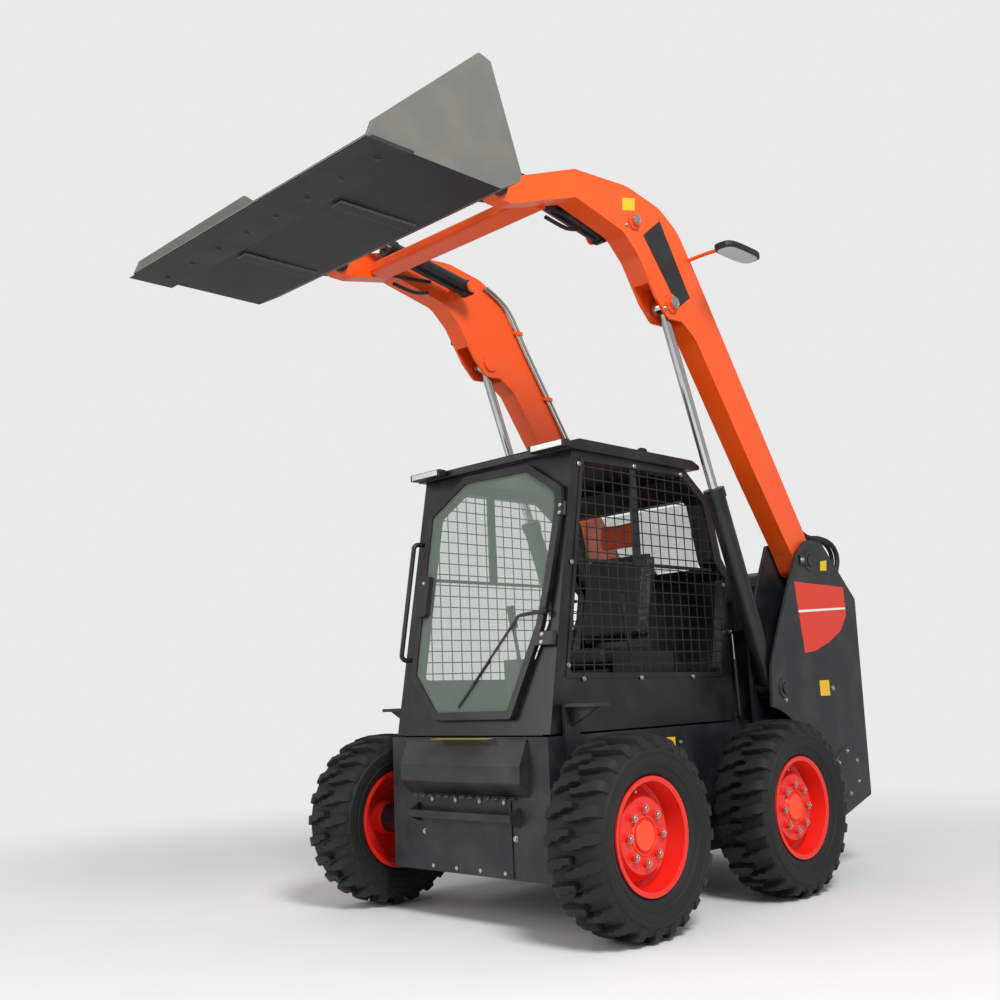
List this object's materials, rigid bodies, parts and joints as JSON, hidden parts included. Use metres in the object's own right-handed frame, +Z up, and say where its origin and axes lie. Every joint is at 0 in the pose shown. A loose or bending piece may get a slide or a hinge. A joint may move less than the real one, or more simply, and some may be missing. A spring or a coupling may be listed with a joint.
{
  "type": "skid steer loader",
  "caption": "Compact wheeled loader with raised lift arms, wide bucket on a quick coupler, glazed cab with mesh sides, tilting cab, hood and rear door.",
  "frame": {"origin": "on the ground under the middle of the overall length, on the centre line", "axes": "+X forward, +Y to the machine's left, +Z up"},
  "size_m": [3.389, 1.92, 3.3242],
  "materials": {
    "chassis_paint": "satin charcoal paint",
    "cab_paint": "satin black paint",
    "arm_paint": "glossy orange paint",
    "rim_paint": "glossy red-orange paint",
    "bucket_steel": "satin grey paint",
    "edge_steel": "dark rolled steel",
    "tyre": "matt tread rubber",
    "chrome": "polished rod",
    "barrel_paint": "satin black paint",
    "engine": "cast block",
    "glass": "tinted safety glass",
    "guard": "black coated wire",
    "seat_vinyl": "black seat cover",
    "headrest_cover": "orange cover",
    "black_plastic": "moulded",
    "lamp": "clear lens"
  },
  "bodies": {
    "chassis": {"chassis_tub": "chassis_paint", "front_housing": "chassis_paint", "front_step": "chassis_paint", "engine": "engine", "axle_housings": "chassis_paint", "rear_bumper": "chassis_paint", "upright_left": "chassis_paint", "upright_right": "chassis_paint"},
    "wheel_front_left": {"tyre_front_left": "tyre", "rim_front_left": "rim_paint"},
    "wheel_front_right": {"tyre_front_right": "tyre", "rim_front_right": "rim_paint"},
    "wheel_rear_left": {"tyre_rear_left": "tyre", "rim_rear_left": "rim_paint"},
    "wheel_rear_right": {"tyre_rear_right": "tyre", "rim_rear_right": "rim_paint"},
    "lift_arms": {"lift_arm_left": "arm_paint", "lift_arm_right": "arm_paint", "arm_cross_beam": "arm_paint", "mirrors": "black_plastic"},
    "bucket": {"bucket_shell": "bucket_steel", "cutting_edge": "edge_steel", "coupler": "barrel_paint"},
    "lift_cylinder_left": {"lift_barrel_left": "barrel_paint"},
    "lift_piston_left": {"lift_rod_left": "chrome"},
    "lift_cylinder_right": {"lift_barrel_right": "barrel_paint"},
    "lift_piston_right": {"lift_rod_right": "chrome"},
    "tilt_cylinder_left": {"tilt_barrel_left": "barrel_paint"},
    "tilt_piston_left": {"tilt_rod_left": "chrome"},
    "tilt_cylinder_right": {"tilt_barrel_right": "barrel_paint"},
    "tilt_piston_right": {"tilt_rod_right": "chrome"},
    "cab": {"cab_frame": "cab_paint", "cab_roof": "cab_paint", "side_screen_left": "guard", "side_screen_right": "guard", "rear_window": "glass", "cab_floor": "black_plastic", "seat_base": "black_plastic", "seat_cushion": "seat_vinyl", "seat_back": "seat_vinyl", "headrest": "headrest_cover", "control_levers": "black_plastic", "work_lamps": "lamp", "grab_handle": "cab_paint"},
    "front_door": {"door_frame": "cab_paint", "door_glass": "glass", "door_handle": "black_plastic"},
    "cab_strut_left": {"gas_strut_tube_left": "barrel_paint"},
    "cab_strut_rod_left": {"gas_strut_rod_left": "chrome"},
    "cab_strut_right": {"gas_strut_tube_right": "barrel_paint"},
    "cab_strut_rod_right": {"gas_strut_rod_right": "chrome"},
    "hood_lid": {"hood": "chassis_paint"},
    "tailgate": {"rear_door": "chassis_paint"}
  },
  "joints": [
    {"name": "wheel_front_left_spin", "type": "hinge", "parent": "chassis", "child": "wheel_front_left", "pos_m": [0.394, 0.735, 0.386], "axis": [0, 1, 0], "continuous": true},
    {"name": "wheel_front_right_spin", "type": "hinge", "parent": "chassis", "child": "wheel_front_right", "pos_m": [0.394, -0.735, 0.386], "axis": [0, 1, 0], "continuous": true},
    {"name": "wheel_rear_left_spin", "type": "hinge", "parent": "chassis", "child": "wheel_rear_left", "pos_m": [-0.699, 0.735, 0.386], "axis": [0, 1, 0], "continuous": true},
    {"name": "wheel_rear_right_spin", "type": "hinge", "parent": "chassis", "child": "wheel_rear_right", "pos_m": [-0.699, -0.735, 0.386], "axis": [0, 1, 0], "continuous": true},
    {"name": "arm_lift", "type": "hinge", "parent": "chassis", "child": "lift_arms", "pos_m": [-1.2325, 0, 1.538], "axis": [0, 1, 0], "range_deg": [0, 67]},
    {"name": "bucket_tilt", "type": "hinge", "parent": "lift_arms", "child": "bucket", "pos_m": [0.7975, 0, 2.981], "axis": [0, -1, 0], "range_deg": [-40, 86]},
    {"name": "lift_cylinder_left_swing", "type": "hinge", "parent": "chassis", "child": "lift_cylinder_left", "pos_m": [-0.8965, 0.5975, 0.911], "axis": [0, 1, 0], "range_deg": [0, 61.77]},
    {"name": "lift_piston_left_slide", "type": "slide", "parent": "lift_cylinder_left", "child": "lift_piston_left", "axis": [0.3559, 0, 0.9345], "range_m": [-0.77393, 0]},
    {"name": "lift_cylinder_right_swing", "type": "hinge", "parent": "chassis", "child": "lift_cylinder_right", "pos_m": [-0.8965, -0.5975, 0.911], "axis": [0, 1, 0], "range_deg": [0, 61.77]},
    {"name": "lift_piston_right_slide", "type": "slide", "parent": "lift_cylinder_right", "child": "lift_piston_right", "axis": [0.3559, 0, 0.9345], "range_m": [-0.77393, 0]},
    {"name": "tilt_cylinder_left_swing", "type": "hinge", "parent": "lift_arms", "child": "tilt_cylinder_left", "pos_m": [0.0275, 0.45, 3.016], "axis": [0, -1, 0], "range_deg": [-1.04, 2.23]},
    {"name": "tilt_piston_left_slide", "type": "slide", "parent": "tilt_cylinder_left", "child": "tilt_piston_left", "axis": [0.9864, 0, 0.1644], "range_m": [-0.2348, 0.1093]},
    {"name": "tilt_cylinder_right_swing", "type": "hinge", "parent": "lift_arms", "child": "tilt_cylinder_right", "pos_m": [0.0275, -0.45, 3.016], "axis": [0, -1, 0], "range_deg": [-1.04, 2.23]},
    {"name": "tilt_piston_right_slide", "type": "slide", "parent": "tilt_cylinder_right", "child": "tilt_piston_right", "axis": [0.9864, 0, 0.1644], "range_m": [-0.2348, 0.1093]},
    {"name": "cab_tilt", "type": "hinge", "parent": "chassis", "child": "cab", "pos_m": [-0.9525, 0, 1.256], "axis": [0, 1, 0], "range_deg": [-35, 0]},
    {"name": "front_door_hinge", "type": "hinge", "parent": "cab", "child": "front_door", "pos_m": [0.45137, 0.48, 1.42454], "axis": [-0.1814, 0, 0.9834], "range_deg": [0, 100]},
    {"name": "cab_strut_left_swing", "type": "hinge", "parent": "chassis", "child": "cab_strut_left", "pos_m": [-0.7755, 0.495, 0.788], "axis": [0, 1, 0], "range_deg": [-0.16, 0.01]},
    {"name": "cab_strut_rod_left_slide", "type": "slide", "parent": "cab_strut_left", "child": "cab_strut_rod_left", "axis": [0.0425, 0, 0.9991], "range_m": [0, 0.1238]},
    {"name": "cab_strut_right_swing", "type": "hinge", "parent": "chassis", "child": "cab_strut_right", "pos_m": [-0.7755, -0.495, 0.788], "axis": [0, 1, 0], "range_deg": [-0.16, 0.01]},
    {"name": "cab_strut_rod_right_slide", "type": "slide", "parent": "cab_strut_right", "child": "cab_strut_rod_right", "axis": [0.0425, 0, 0.9991], "range_m": [0, 0.1238]},
    {"name": "hood_hinge", "type": "hinge", "parent": "chassis", "child": "hood_lid", "pos_m": [-1.0205, 0, 1.291], "axis": [0, 1, 0], "range_deg": [0, 55]},
    {"name": "rear_door_hinge", "type": "hinge", "parent": "chassis", "child": "tailgate", "pos_m": [-1.6825, 0.504, 0.786], "axis": [0, 0, -1], "range_deg": [0, 110]}
  ],
  "couplings": [
    {"joint": "lift_cylinder_left_swing", "follows": "arm_lift", "ratio": 0.92197},
    {"joint": "lift_piston_left_slide", "follows": "arm_lift", "m_per_rad": -0.66183},
    {"joint": "lift_cylinder_right_swing", "follows": "arm_lift", "ratio": 0.92197},
    {"joint": "lift_piston_right_slide", "follows": "arm_lift", "m_per_rad": -0.66183},
    {"joint": "tilt_cylinder_left_swing", "follows": "bucket_tilt", "ratio": 0.0258},
    {"joint": "tilt_piston_left_slide", "follows": "bucket_tilt", "m_per_rad": -0.1563},
    {"joint": "tilt_cylinder_right_swing", "follows": "bucket_tilt", "ratio": 0.0258},
    {"joint": "tilt_piston_right_slide", "follows": "bucket_tilt", "m_per_rad": -0.1563},
    {"joint": "cab_strut_left_swing", "follows": "cab_tilt", "ratio": 0.004161},
    {"joint": "cab_strut_rod_left_slide", "follows": "cab_tilt", "m_per_rad": -0.20238},
    {"joint": "cab_strut_right_swing", "follows": "cab_tilt", "ratio": 0.004161},
    {"joint": "cab_strut_rod_right_slide", "follows": "cab_tilt", "m_per_rad": -0.20238}
  ]
}
